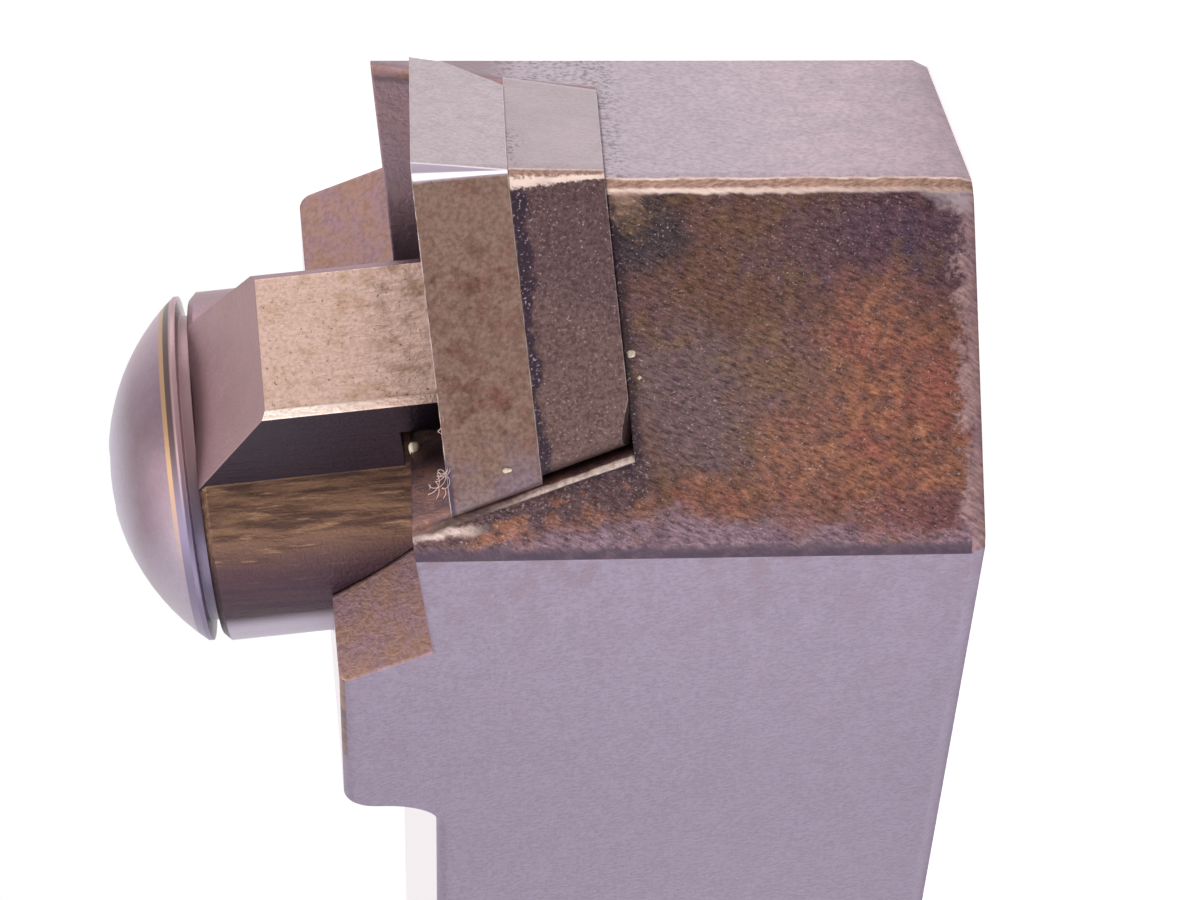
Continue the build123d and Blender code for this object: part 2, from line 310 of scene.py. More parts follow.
# Patch: one inside an ellipsoid about a middle, in whatever space the place is given.
patch, given, out = new_group(
    "patch",
    [("Place", "NodeSocketVector"), ("Middle", "NodeSocketVector"),
     ("Reach", "NodeSocketVector"), ("Soft", "NodeSocketFloat")],
    [("Mask", "NodeSocketFloat")],
)
away = vector_maths(patch, "SUBTRACT", given["Place"], given["Middle"])
away = vector_maths(patch, "DIVIDE", away.outputs[0], given["Reach"])
away = node(patch, "ShaderNodeVectorMath", {0: away.outputs[0]}, operation="LENGTH")
outer = maths(patch, "ADD", 1.0, given["Soft"])
inner = maths(patch, "SUBTRACT", 1.0, given["Soft"])
patch.links.new(smooth_step(patch, away.outputs["Value"], outer, inner), out["Mask"])

# Rounded edges: one where the surface turns within a small radius, broken up by noise, and the
# softened normal.
rounded_edges, given, out = new_group(
    "rounded_edges",
    [("Radius", "NodeSocketFloat"), ("Place", "NodeSocketVector")],
    [("Mask", "NodeSocketFloat"), ("Normal", "NodeSocketVector")],
)
soft = node(rounded_edges, "ShaderNodeBevel", {"Radius": given["Radius"]}, samples=6)
flat = node(rounded_edges, "ShaderNodeNewGeometry")
match = vector_maths(rounded_edges, "DOT_PRODUCT", soft.outputs[0], flat.outputs["Normal"])
turned = smooth_step(rounded_edges, match.outputs["Value"], 0.997, 0.90)
noise = node(
    rounded_edges, "ShaderNodeTexNoise", {"Vector": given["Place"], "Scale": 2.2, "Detail": 5.0}
)
ragged = smooth_step(rounded_edges, noise.outputs["Fac"], 0.30, 0.60)
rounded_edges.links.new(maths(rounded_edges, "MULTIPLY", turned, ragged), out["Mask"])
rounded_edges.links.new(soft.outputs[0], out["Normal"])


def placed(tree, group, output="Mask", **inputs):
    """One output of a node group set into a material with its own values."""
    made = tree.nodes.new("ShaderNodeGroup")
    made.node_tree = group
    for name, value in inputs.items():
        if isinstance(value, bpy.types.NodeSocket):
            tree.links.new(value, made.inputs[name])
        else:
            made.inputs[name].default_value = value
    return made.outputs[output]


def start_material(name, metallic, roughness):
    """A material with its Principled shader, its place in millimetres and its normal."""
    material = bpy.data.materials.new(name)
    material.use_nodes = True
    tree = material.node_tree
    shader = tree.nodes["Principled BSDF"]
    shader.inputs["Metallic"].default_value = metallic
    shader.inputs["Roughness"].default_value = roughness
    texture = node(tree, "ShaderNodeTexCoord")
    scaled = node(
        tree,
        "ShaderNodeMapping",
        {"Vector": texture.outputs["Object"], "Scale": (1000.0, 1000.0, 1000.0)},
    )
    return material, tree, shader, scaled.outputs[0], texture.outputs["Normal"]


def between(tree, value, low, high, soft):
    """One where a value lies between low and high, and zero outside, with soft ends."""
    rise = smooth_step(tree, value, low, maths(tree, "ADD", low, soft))
    fall = smooth_step(tree, value, high, maths(tree, "SUBTRACT", high, soft))
    return product(tree, rise, fall)


def facing(tree, normal, direction, low=0.90, high=0.97):
    """One where the surface looks along a direction, and zero where it looks elsewhere."""
    unit = tuple(Vector(direction).normalized())
    along = vector_maths(tree, "DOT_PRODUCT", normal, unit)
    return smooth_step(tree, along.outputs["Value"], low, high)


def stretched(tree, place, scale, slant=0.0):
    """The place turned by a slant, then scaled, for streaks along the smallest scale."""
    turn = (0.0, 0.0, math.radians(slant))
    turned = node(tree, "ShaderNodeMapping", {"Vector": place, "Rotation": turn})
    made = node(tree, "ShaderNodeMapping", {"Vector": turned.outputs[0], "Scale": scale})
    return made.outputs[0]


def shaken(tree, place, size, amount):
    """The place pushed about by noise, so that a patch drawn in it gets a ragged edge."""
    noise = node(
        tree, "ShaderNodeTexNoise", {"Vector": place, "Scale": 1.0 / size, "Detail": 5.0}
    )
    push = vector_maths(tree, "SUBTRACT", noise.outputs["Color"], (0.5, 0.5, 0.5))
    push = vector_maths(tree, "MULTIPLY", push.outputs[0], (amount, amount, amount))
    return vector_maths(tree, "ADD", place, push.outputs[0]).outputs[0]


def shaded(tree, colour, factor):
    """A colour made darker or lighter by a factor."""
    if isinstance(colour, tuple):
        colour = colour[:3]
    return node(
        tree, "ShaderNodeVectorMath", {0: colour, "Scale": factor}, operation="SCALE"
    ).outputs[0]


def seat_depth(tree, place):
    """How deep a place lies under the plane of the insert's top, in millimetres."""
    down = (math.sin(SEAT_RAKE), 0.0, -math.cos(SEAT_RAKE))
    level = INSERT_TOP_Z * math.cos(SEAT_RAKE) - INSERT_CORNER_X * math.sin(SEAT_RAKE)
    along = vector_maths(tree, "DOT_PRODUCT", place, down)
    return maths(tree, "ADD", along.outputs["Value"], level)


def finish(tree, shader, colour, normal, height=None, strength=0.3, distance=0.00003):
    """Joins a material's colour and its softened, bumped normal to its shader."""
    tree.links.new(colour, shader.inputs["Base Color"])
    if height is not None:
        bump = node(
            tree,
            "ShaderNodeBump",
            {"Height": height, "Normal": normal, "Strength": strength, "Distance": distance},
        )
        normal = bump.outputs[0]
    tree.links.new(normal, shader.inputs["Normal"])


def dress(node_name, material):
    """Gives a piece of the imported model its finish."""
    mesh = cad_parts[node_name].data
    mesh.materials.clear()
    mesh.materials.append(material)


material, tree, shader, place, normal = start_material("holder_steel", 0.92, 0.42)
axes = node(tree, "ShaderNodeSeparateXYZ", {"Vector": place})
x_mm, y_mm, z_mm = axes.outputs[0], axes.outputs[1], axes.outputs[2]
side_mm = maths(tree, "ABSOLUTE", y_mm)
out_mm = maths(tree, "MULTIPLY", side_mm, ACROSS_FACE)
on_face = node(tree, "ShaderNodeCombineXYZ", {0: out_mm, 1: z_mm}).outputs[0]
rough_face = shaken(tree, shaken(tree, on_face, 1.6, 2.6), 0.30, 1.0)
depth = seat_depth(tree, place)
wide = placed(tree, blotches, Place=place, Size=3.2, Low=0.38, High=0.64)
middling = placed(tree, blotches, Place=place, Size=0.8, Low=0.36, High=0.66)
fine = placed(tree, blotches, Place=place, Size=0.20, Low=0.34, High=0.68)
sparkle_specks = placed(tree, blotches, Place=place, Size=0.085, Low=0.58, High=0.74)
wander = levels(tree, middling, 0.0, 1.0, -0.10, 0.10)

# Ground flanks: a fine grain, faint streaks along the bar, a darker rear, and pinkish
# smudges by the front.
along_bar = stretched(tree, place, (0.25, 1.0, 1.0))
streaks = placed(tree, blotches, Place=along_bar, Size=0.7, Low=0.34, High=0.70)
rear = smooth_step(tree, x_mm, 50.0, 18.0)
drawn_out = stretched(tree, place, (0.6, 1.0, 1.0))
smudges = placed(tree, blotches, Place=drawn_out, Size=1.0, Low=0.48, High=0.62)
smudges = product(tree, smudges, levels(tree, x_mm, 36.0, 48.0, 0.15, 1.0))
colour = mix_colour(tree, product(tree, streaks, 0.25), GROUND_STEEL, GROUND_STEEL_DARK)
colour = mix_colour(tree, product(tree, rear, 0.60), colour, GROUND_STEEL_DARK)
colour = shaded(tree, colour, levels(tree, fine, 0.0, 1.0, 1.12, 0.88))
colour = mix_colour(tree, product(tree, smudges, 0.85), colour, SMUDGE_PINK)

# What looks up is smooth, and is painted near white: a painted reflection of the white round it.
upward = facing(tree, normal, (0.0, 0.0, 1.0), 0.97, 0.99)
colour = mix_colour(tree, upward, colour, TOP_STEEL_REFLECTION)

# The pocket's walls and the boss's leaning front: brown, mottled, with a little rust.
head_only = product(
    tree, smooth_step(tree, x_mm, 28.0, 30.0), smooth_step(tree, z_mm, 11.0, 12.0)
)
across = node(tree, "ShaderNodeSeparateXYZ", {"Vector": normal}).outputs[1]
not_flank = smooth_step(tree, maths(tree, "ABSOLUTE", across), 0.92, 0.80)
in_head = product(tree, head_only, not_flank, maths(tree, "SUBTRACT", 1.0, upward))
walls = mix_colour(tree, middling, WALL_BROWN, WALL_PLUM)
wall_rust = placed(tree, blotches, Place=place, Size=0.7, Low=0.54, High=0.66)
walls = mix_colour(tree, product(tree, wall_rust, 0.55), walls, RUST_ORANGE)
# Fine bright specks on the walls are painted glints.
walls = mix_colour(tree, product(tree, sparkle_specks, 0.7), walls, SPARKLE)
far_wall = product(
    tree, smooth_step(tree, y_mm, 0.0, 1.0), levels(tree, wide, 0.0, 1.0, 1.0, 0.7)
)
walls = mix_colour(tree, far_wall, walls, FAR_WALL)
colour = mix_colour(tree, in_head, colour, walls)
boss_front = product(tree, head_only, facing(tree, normal, (0.83, 0.0, 0.56), 0.95, 0.98))
notch = mix_colour(tree, middling, NOTCH_BROWN, NOTCH_TAN)
notch = shaded(tree, notch, levels(tree, fine, 0.0, 1.0, 1.14, 0.84))
colour = mix_colour(tree, boss_front, colour, notch)

# The right front face: light mauve steel, pinker to the base, with soot by the shim.
right_face = product(
    tree,
    facing(tree, normal, (1.0, 1.0, HEAD_LEAN), 0.78, 0.86),
    smooth_step(tree, y_mm, -0.05, 0.0),
    smooth_step(tree, maths(tree, "ADD", depth, wander), 2.2, 4.0),
)
to_base = smooth_step(tree, z_mm, 10.0, 2.0)
pink_share = product(tree, to_base, levels(tree, wide, 0.0, 1.0, 1.0, 0.4))
facet = mix_colour(tree, pink_share, FACET_STEEL, FACET_PINK)
facet = shaded(tree, facet, levels(tree, fine, 0.0, 1.0, 1.14, 0.86))
facet = shaded(tree, facet, levels(tree, middling, 0.0, 1.0, 1.04, 0.95))
by_shim = smooth_step(tree, depth, 7.4, 6.5)
soot_dots = placed(tree, blotches, Place=place, Size=0.20, Low=0.50, High=0.58)
soot_dots = product(tree, soot_dots, by_shim, levels(tree, middling, 0.0, 1.0, 0.3, 1.0))
few_dots = placed(tree, blotches, Place=place, Size=0.20, Low=0.66, High=0.72)
facet = mix_colour(tree, product(tree, few_dots, 0.5), facet, OIL_MAUVE)
facet = mix_colour(tree, product(tree, soot_dots, 0.55), facet, SOOT_AND_GAP_SHADE)
colour = mix_colour(tree, right_face, colour, facet)

# The left front face: brown oil with a slanting grain, and patches laid over it in turn.
# Each patch has its middle and its reach out from the nose and up from the base.
left_face = product(
    tree,
    facing(tree, normal, (1.0, -1.0, HEAD_LEAN), 0.78, 0.86),
    smooth_step(tree, y_mm, 0.0, -0.05),
)
oil = mix_colour(tree, wide, OIL_BROWN, OIL_MAUVE)
for middle, reach, share, patch_colour in (
    ((7.8, 9.6), (2.8, 2.5), 0.80, OIL_GREY),
    ((8.6, 6.4), (3.4, 2.0), 0.75, WORN_TAN),
    ((2.2, 2.3), (2.2, 3.3), 0.80, OIL_BLUE),
    ((3.3, 2.3), (2.3, 0.35), 0.55, OIL_AND_SHADE_INK),
    ((1.5, 11.3), (1.6, 1.6), 0.85, OIL_GREEN),
    ((13.3, 8.0), (1.2, 10.5), 0.85, FRONT_FOOT),
    ((13.2, 0.6), (1.6, 1.2), 0.70, FRONT_FOOT),
):
    spot = placed(
        tree, patch, Place=rough_face, Middle=(*middle, 0.0), Reach=(*reach, 1.0), Soft=0.48
    )
    oil = mix_colour(tree, product(tree, spot, share), oil, patch_colour)
olive = placed(tree, blotches, Place=place, Size=1.5, Low=0.50, High=0.64)
oil = mix_colour(tree, product(tree, olive, 0.45), oil, OIL_OLIVE)
plum = placed(tree, blotches, Place=on_face, Size=1.1, Low=0.52, High=0.66)
oil = mix_colour(tree, product(tree, plum, 0.45), oil, OIL_PLUM)
rust = mix_colour(tree, middling, RUST_BROWN, RUST_ORANGE)
red_spots = placed(tree, blotches, Place=place, Size=1.3, Low=0.46, High=0.62)
rust = mix_colour(tree, product(tree, red_spots, 0.8), rust, RUST_RED)
scales = placed(tree, blotches, Place=place, Size=0.45, Low=0.46, High=0.64)
rust = mix_colour(tree, product(tree, scales, 0.65), rust, OIL_MAUVE)
for middle, reach, share, rust_colour in (
    ((8.6, 2.7), (4.4, 2.7), 0.85, rust),
    ((4.8, 3.9), (1.7, 1.5), 0.62, rust),
    ((10.4, 6.4), (2.2, 1.6), 0.55, rust),
    ((11.4, 9.4), (1.0, 1.3), 0.60, rust),
    ((12.0, 2.0), (0.8, 1.3), 0.80, RUST_PLUM),
    ((7.6, 1.6), (1.1, 0.9), 0.50, RUST_RED),
):
    spot = placed(
        tree, patch, Place=rough_face, Middle=(*middle, 0.0), Reach=(*reach, 1.0), Soft=0.42
    )
    oil = mix_colour(tree, product(tree, spot, share), oil, rust_colour)

# Under the pocket wall's edge runs a dark, rusty band; below its upper end a painted highlight
# line.
edge_line = maths(tree, "ADD", maths(tree, "MULTIPLY", z_mm, 0.187), 8.38)
past_edge = maths(tree, "SUBTRACT", out_mm, edge_line)
past_edge = maths(tree, "ADD", past_edge, levels(tree, middling, 0.0, 1.0, -0.35, 0.35))
along = between(tree, z_mm, 11.0, 18.2, 0.9)
dark_rust = mix_colour(tree, wall_rust, shaded(tree, WALL_PLUM, 0.55), RUST_BROWN)
band = product(tree, between(tree, past_edge, -1.0, 1.45, 0.45), along, 0.85)
oil = mix_colour(tree, band, oil, dark_rust)
# Bright specks in the band are painted glints.
band_sparkle = placed(tree, blotches, Place=place, Size=0.12, Low=0.57, High=0.69)
oil = mix_colour(tree, product(tree, band, band_sparkle, 0.45), oil, SPARKLE)
orange = product(tree, between(tree, past_edge, 0.7, 1.7, 0.25), along, wide, 0.60)
oil = mix_colour(tree, orange, oil, RUST_ORANGE)
bright_line = maths(tree, "ADD", maths(tree, "MULTIPLY", z_mm, 0.15), 9.83)
off_line = maths(tree, "ADD", maths(tree, "SUBTRACT", out_mm, bright_line), wander)
wall_highlight = product(
    tree, between(tree, off_line, -0.30, 0.24, 0.22), smooth_step(tree, z_mm, 16.9, 18.4)
)

# The grain slants down from the nose, and bright specks are painted over it: grains of bare metal
# with a painted glint.
slanting = stretched(tree, on_face, (5.2, 1.7, 1.0), GRAIN_SLANT)
grain = node(
    tree,
    "ShaderNodeTexNoise",
    {"Vector": slanting, "Scale": 1.4, "Detail": 6.0, "Roughness": 0.75},
).outputs["Fac"]
oil = shaded(tree, oil, levels(tree, grain, 0.36, 0.64, 0.42, 1.60))
dark_grain = placed(tree, blotches, Place=slanting, Size=0.45, Low=0.54, High=0.64)
oil = shaded(tree, oil, levels(tree, dark_grain, 0.0, 1.0, 1.08, 0.66))
sparkle_share = product(tree, sparkle_specks, levels(tree, wide, 0.0, 1.0, 0.45, 0.95))
oil = mix_colour(tree, sparkle_share, oil, SPARKLE)
coarse_sparkle = placed(tree, blotches, Place=slanting, Size=0.22, Low=0.60, High=0.74)
oil = mix_colour(tree, product(tree, coarse_sparkle, 0.30), oil, SPARKLE)
# Beside the shim's foot runs a dark band with pale grains in it: soot, and the painted shade of the
# gap there.
by_shim = smooth_step(tree, maths(tree, "ADD", depth, wander), 6.85, 6.45)
by_shim = product(tree, by_shim, smooth_step(tree, past_edge, 0.2, -0.6))
oil = mix_colour(tree, product(tree, by_shim, 0.75), oil, SOOT_AND_GAP_SHADE)
soot_grains = placed(tree, blotches, Place=place, Size=0.10, Low=0.58, High=0.70)
oil = mix_colour(tree, product(tree, by_shim, soot_grains, 0.7), oil, SOOT_GRAIN)
# The grain breaks up the painted highlight line along the wall's edge.
wall_highlight = product(tree, wall_highlight, levels(tree, grain, 0.36, 0.64, 1.0, 0.4))
oil = mix_colour(tree, wall_highlight, oil, BURNISHED_HIGHLIGHT)
colour = mix_colour(tree, left_face, colour, oil)

# The base's chamfer is a paler strip, and bare at the nose.
ragged_z = maths(tree, "ADD", z_mm, levels(tree, middling, 0.0, 1.0, -0.24, 0.24))
ragged_z = maths(tree, "ADD", ragged_z, levels(tree, fine, 0.0, 1.0, -0.14, 0.14))
foot = product(tree, left_face, smooth_step(tree, ragged_z, 0.90, 0.30))
strip = mix_colour(tree, product(tree, middling, 0.6), FOOT_STRIP, FRONT_FOOT)
strip = shaded(tree, strip, levels(tree, grain, 0.36, 0.64, 0.62, 1.50))
colour = mix_colour(tree, foot, colour, strip)
bare = placed(
    tree, patch, Place=rough_face, Middle=(0.0, 0.6, 0.0), Reach=(0.9, 1.0, 1.0), Soft=0.5
)
colour = mix_colour(tree, product(tree, bare, left_face, 0.75), colour, BARE_CORNER)

# The nose: a tan band between two painted highlight lines, the lower one fading to the base.
nose_y = maths(tree, "ADD", y_mm, maths(tree, "MULTIPLY", wander, 0.4))
nose_only = product(
    tree,
    smooth_step(tree, side_mm, 0.85, 0.70),
    facing(tree, normal, (1.0, 0.0, -0.1), 0.68, 0.74),
)
tan = shaded(tree, NOSE_TAN, levels(tree, grain, 0.36, 0.64, 0.52, 1.60))
nose_band = product(tree, nose_only, between(tree, nose_y, -0.26, 0.44, 0.12))
colour = mix_colour(tree, nose_band, colour, tan)
low_line = product(
    tree,
    between(tree, nose_y, -0.30, 0.04, 0.14),
    levels(tree, z_mm, 2.0, 9.0, 0.30, 0.95),
    levels(tree, grain, 0.3, 0.7, 0.65, 1.1),
)
high_line = product(
    tree, between(tree, nose_y, 0.27, 0.43, 0.06), levels(tree, middling, 0.0, 1.0, 0.35, 0.8)
)
colour = mix_colour(tree, product(tree, nose_only, low_line), colour, BURNISHED_HIGHLIGHT)
colour = mix_colour(tree, product(tree, nose_only, high_line), colour, BURNISHED_HIGHLIGHT)
flare = placed(
    tree, patch, Place=rough_face, Middle=(0.3, 12.0, 0.0), Reach=(0.75, 0.9, 1.0), Soft=0.5
)
colour = mix_colour(tree, product(tree, flare, left_face, 0.75), colour, tan)

# The corner to the left flank is a thin dark line. The rounded end of the pocket's wall
# gets a painted highlight on its left side, and the wall's brown as painted shade on its right.
corner = product(
    tree,
    facing(tree, normal, (0.38, -0.92, -0.05), 0.97, 0.985),
    smooth_step(tree, x_mm, 40.0, 42.0),
)
line_y = maths(tree, "ADD", side_mm, maths(tree, "MULTIPLY", wander, 0.5))
line = smooth_step(tree, line_y, 9.22, 9.40)
line = product(tree, line, levels(tree, middling, 0.0, 1.0, 1.0, 0.75))
colour = mix_colour(tree, product(tree, corner, line), colour, EDGE_SHADE)
wall_end = product(tree, head_only, smooth_step(tree, side_mm, 2.0, 3.0))
highlit_end = product(tree, wall_end, facing(tree, normal, (0.97, -0.24, 0.0), 0.955, 0.985))
shaded_end = product(tree, wall_end, facing(tree, normal, (0.97, 0.24, 0.0), 0.90, 0.96))
colour = mix_colour(tree, product(tree, shaded_end, 0.8), colour, walls)
highlight_share = product(
    tree, levels(tree, fine, 0.0, 1.0, 1.0, 0.5), levels(tree, z_mm, 17.2, 15.2, 0.15, 0.95)
)
colour = mix_colour(tree, product(tree, highlit_end, highlight_share), colour, BURNISHED_HIGHLIGHT)
far_end = product(
    tree,
    wall_end,
    smooth_step(tree, y_mm, 2.0, 3.0),
    facing(tree, normal, (1.0, 0.0, 0.0), 0.88, 0.96),
)
colour = mix_colour(tree, far_end, colour, notch)

edge_normal = placed(tree, rounded_edges, "Normal", Radius=BODY_EDGE_ROUND, Place=place)
rough = levels(tree, upward, 0.0, 1.0, 0.44, 0.22)
tree.links.new(rough, shader.inputs["Roughness"])
finish(tree, shader, colour, edge_normal, maths(tree, "ADD", grain, fine), 0.35)
dress("holder_body", material)


# ---------------------------------------------------------------- insert

# A pressed and ground square of carbide. Its left flank is stained olive and brown, and
# cleaner at its foot; its right flank is pale. The nose is a cone that narrows downward,
# with a painted highlight line along its lower side, a thin one along its upper side, and
# a lilac painted sheen between them.
CARBIDE_OLIVE = (0.166, 0.103, 0.083, 1.0)
CARBIDE_BROWN = (0.098, 0.049, 0.038, 1.0)
CARBIDE_BLUE = (0.152, 0.106, 0.124, 1.0)
CARBIDE_RUSSET = (0.142, 0.062, 0.048, 1.0)
CARBIDE_PALE = (0.325, 0.256, 0.280, 1.0)
CARBIDE_LILAC_SHEEN = (0.300, 0.250, 0.305, 1.0)
CARBIDE_HIGHLIGHT = (0.860, 0.800, 0.840, 1.0)
CARBIDE_EDGE_HIGHLIGHT = (0.560, 0.480, 0.480, 1.0)
CARBIDE_EDGE_ROUND = 0.00007
INSERT_THICK = 3.175

material, tree, shader, place, normal = start_material("insert_carbide", 0.95, 0.36)
y_mm = node(tree, "ShaderNodeSeparateXYZ", {"Vector": place}).outputs[1]
out_mm = maths(tree, "MULTIPLY", maths(tree, "ABSOLUTE", y_mm), ACROSS_FACE)
depth = seat_depth(tree, place)
wide = placed(tree, blotches, Place=place, Size=2.0, Low=0.38, High=0.62)
middling = placed(tree, blotches, Place=place, Size=0.6, Low=0.42, High=0.64)
fine = placed(tree, blotches, Place=place, Size=0.16, Low=0.34, High=0.68)
sparkle_specks = placed(tree, blotches, Place=place, Size=0.08, Low=0.62, High=0.76)
stain = product(
    tree,
    levels(tree, wide, 0.0, 1.0, 0.35, 1.0),
    middling,
    between(tree, out_mm, 1.2, 10.8, 2.0),
)
colour = mix_colour(tree, stain, CARBIDE_OLIVE, CARBIDE_BROWN)
ragged_out = maths(tree, "ADD", out_mm, levels(tree, wide, 0.0, 1.0, -0.8, 0.8))
foot_end = smooth_step(tree, ragged_out, 9.6, 12.2)
colour = mix_colour(tree, foot_end, colour, CARBIDE_BLUE)
russet = placed(tree, blotches, Place=place, Size=0.9, Low=0.50, High=0.66)
colour = mix_colour(tree, product(tree, russet, 0.45), colour, CARBIDE_RUSSET)
colour = shaded(tree, colour, levels(tree, fine, 0.0, 1.0, 1.25, 0.79))
# Fine bright specks are painted glints.
colour = mix_colour(tree, product(tree, sparkle_specks, 0.55), colour, SPARKLE)
flank_start = levels(tree, depth, 0.0, INSERT_THICK, -0.26, 0.10)
past_start = maths(tree, "SUBTRACT", y_mm, flank_start)
pale = mix_colour(tree, middling, CARBIDE_PALE, shaded(tree, CARBIDE_PALE, 0.88))
pale = shaded(tree, pale, levels(tree, fine, 0.0, 1.0, 1.13, 0.87))
# Two dark strips: one along the top edge away from the nose, and a painted shadow along the rounded
# corner at the flank's far end.
top_edge_dark = product(
    tree, smooth_step(tree, out_mm, 10.2, 10.9), smooth_step(tree, depth, 0.24, 0.10)
)
corner_shadow = smooth_step(tree, out_mm, 12.25, 12.45)
dark_edges = maths(tree, "MAXIMUM", top_edge_dark, corner_shadow)
colour = mix_colour(tree, product(tree, dark_edges, 0.75), colour, OIL_AND_SHADE_INK)
colour = mix_colour(tree, smooth_step(tree, past_start, -0.10, 0.04), colour, pale)
holes = placed(tree, blotches, Place=place, Size=0.13, Low=0.60, High=0.68)
hole_zone = placed(tree, blotches, Place=place, Size=1.1, Low=0.48, High=0.60)
holes = product(tree, holes, hole_zone)
colour = mix_colour(tree, product(tree, holes, 0.6), colour, OIL_BLUE)
# The nose cone: a lilac painted sheen, with painted highlight lines along its upper and lower
# sides.
nose_end = levels(tree, depth, 0.0, INSERT_THICK, 0.58, 0.26)
past_nose = maths(tree, "SUBTRACT", y_mm, nose_end)
lilac_sheen = product(
    tree, smooth_step(tree, past_start, 0.0, 0.1), smooth_step(tree, past_nose, 0.02, -0.04)
)
colour = mix_colour(tree, lilac_sheen, colour, CARBIDE_LILAC_SHEEN)
high_line = between(tree, past_nose, -0.06, 0.06, 0.05)
colour = mix_colour(tree, product(tree, high_line, 0.5), colour, CARBIDE_HIGHLIGHT)
middle = levels(tree, depth, 0.0, INSERT_THICK, -0.08, 0.19)
half = levels(tree, depth, 0.0, INSERT_THICK, 0.17, 0.07)
from_middle = maths(tree, "ABSOLUTE", maths(tree, "SUBTRACT", y_mm, middle))
low_line = maths(tree, "DIVIDE", from_middle, half)
colour = mix_colour(tree, smooth_step(tree, low_line, 1.1, 0.5), colour, CARBIDE_HIGHLIGHT)
# A painted highlight runs along the edges.
edge_highlight = placed(tree, rounded_edges, Radius=CARBIDE_EDGE_ROUND, Place=place)
edge_normal = placed(tree, rounded_edges, "Normal", Radius=CARBIDE_EDGE_ROUND, Place=place)
colour = mix_colour(tree, product(tree, edge_highlight, 0.8), colour, CARBIDE_EDGE_HIGHLIGHT)
finish(tree, shader, colour, edge_normal, maths(tree, "SUBTRACT", fine, holes), 0.25)
dress("insert", material)


# ---------------------------------------------------------------- shim

# The square of darker carbide under the insert. Grime with bright grains in it has
# gathered along the joint with the insert, and the nose has painted highlight lines.
SHIM_PLUM = (0.084, 0.048, 0.050, 1.0)
SHIM_TAN = (0.108, 0.064, 0.060, 1.0)
SHIM_PALE = (0.305, 0.238, 0.258, 1.0)
GRIME = (0.028, 0.017, 0.026, 1.0)
GRIME_GRAIN = (0.420, 0.340, 0.420, 1.0)
GRIME_WIDTH = 0.45
SHIM_TOP = INSERT_THICK
SHIM_FOOT = 6.35

material, tree, shader, place, normal = start_material("shim_carbide", 0.92, 0.40)
y_mm = node(tree, "ShaderNodeSeparateXYZ", {"Vector": place}).outputs[1]
out_mm = maths(tree, "MULTIPLY", maths(tree, "ABSOLUTE", y_mm), ACROSS_FACE)
depth = seat_depth(tree, place)
wide = placed(tree, blotches, Place=place, Size=1.8, Low=0.36, High=0.64)
fine = placed(tree, blotches, Place=place, Size=0.15, Low=0.34, High=0.68)
sparkle_specks = placed(tree, blotches, Place=place, Size=0.09, Low=0.57, High=0.72)
ragged_out = maths(tree, "ADD", out_mm, levels(tree, wide, 0.0, 1.0, -1.5, 1.5))
lower = smooth_step(tree, ragged_out, 3.0, 8.0)
colour = mix_colour(tree, lower, SHIM_PLUM, SHIM_TAN)
colour = shaded(tree, colour, levels(tree, fine, 0.0, 1.0, 1.35, 0.65))
# Fine bright specks are painted glints.
colour = mix_colour(tree, product(tree, sparkle_specks, 0.60), colour, SPARKLE)
low_y = levels(tree, depth, SHIM_TOP, SHIM_FOOT, -0.08, 0.23)
past_low = maths(tree, "SUBTRACT", y_mm, low_y)
pale = shaded(tree, SHIM_PALE, levels(tree, wide, 0.0, 1.0, 1.06, 0.94))
pale = shaded(tree, pale, levels(tree, fine, 0.0, 1.0, 1.08, 0.92))
colour = mix_colour(tree, smooth_step(tree, y_mm, 0.42, 0.52), colour, pale)
wander = levels(tree, wide, 0.0, 1.0, -0.25, 0.25)
ragged = levels(tree, fine, 0.0, 1.0, -0.10, 0.10)
from_joint = maths(tree, "ADD", maths(tree, "ADD", depth, wander), ragged)
near_joint = smooth_step(tree, from_joint, SHIM_TOP + GRIME_WIDTH, SHIM_TOP + 0.5 * GRIME_WIDTH)
grime_reach = smooth_step(tree, y_mm, 0.0, -0.6)
colour = mix_colour(tree, product(tree, near_joint, grime_reach, 0.92), colour, GRIME)
grains = placed(tree, blotches, Place=place, Size=0.11, Low=0.56, High=0.68)
colour = mix_colour(tree, product(tree, grains, near_joint, grime_reach, 0.8), colour, GRIME_GRAIN)
dark_dots = placed(tree, blotches, Place=place, Size=0.15, Low=0.50, High=0.58)
far_joint = smooth_step(tree, from_joint, SHIM_TOP + 0.9, SHIM_TOP + 0.1)
dots_reach = between(tree, y_mm, 0.5, 3.6, 0.6)
dark_dots = product(tree, dark_dots, far_joint, dots_reach)
colour = mix_colour(tree, product(tree, dark_dots, 0.75), colour, OIL_MAUVE)
tan = shaded(tree, NOSE_TAN, levels(tree, fine, 0.0, 1.0, 1.3, 0.7))
tan_band = product(
    tree, smooth_step(tree, past_low, -0.08, 0.02), smooth_step(tree, y_mm, 0.54, 0.42)
)
colour = mix_colour(tree, product(tree, tan_band, 0.9), colour, tan)
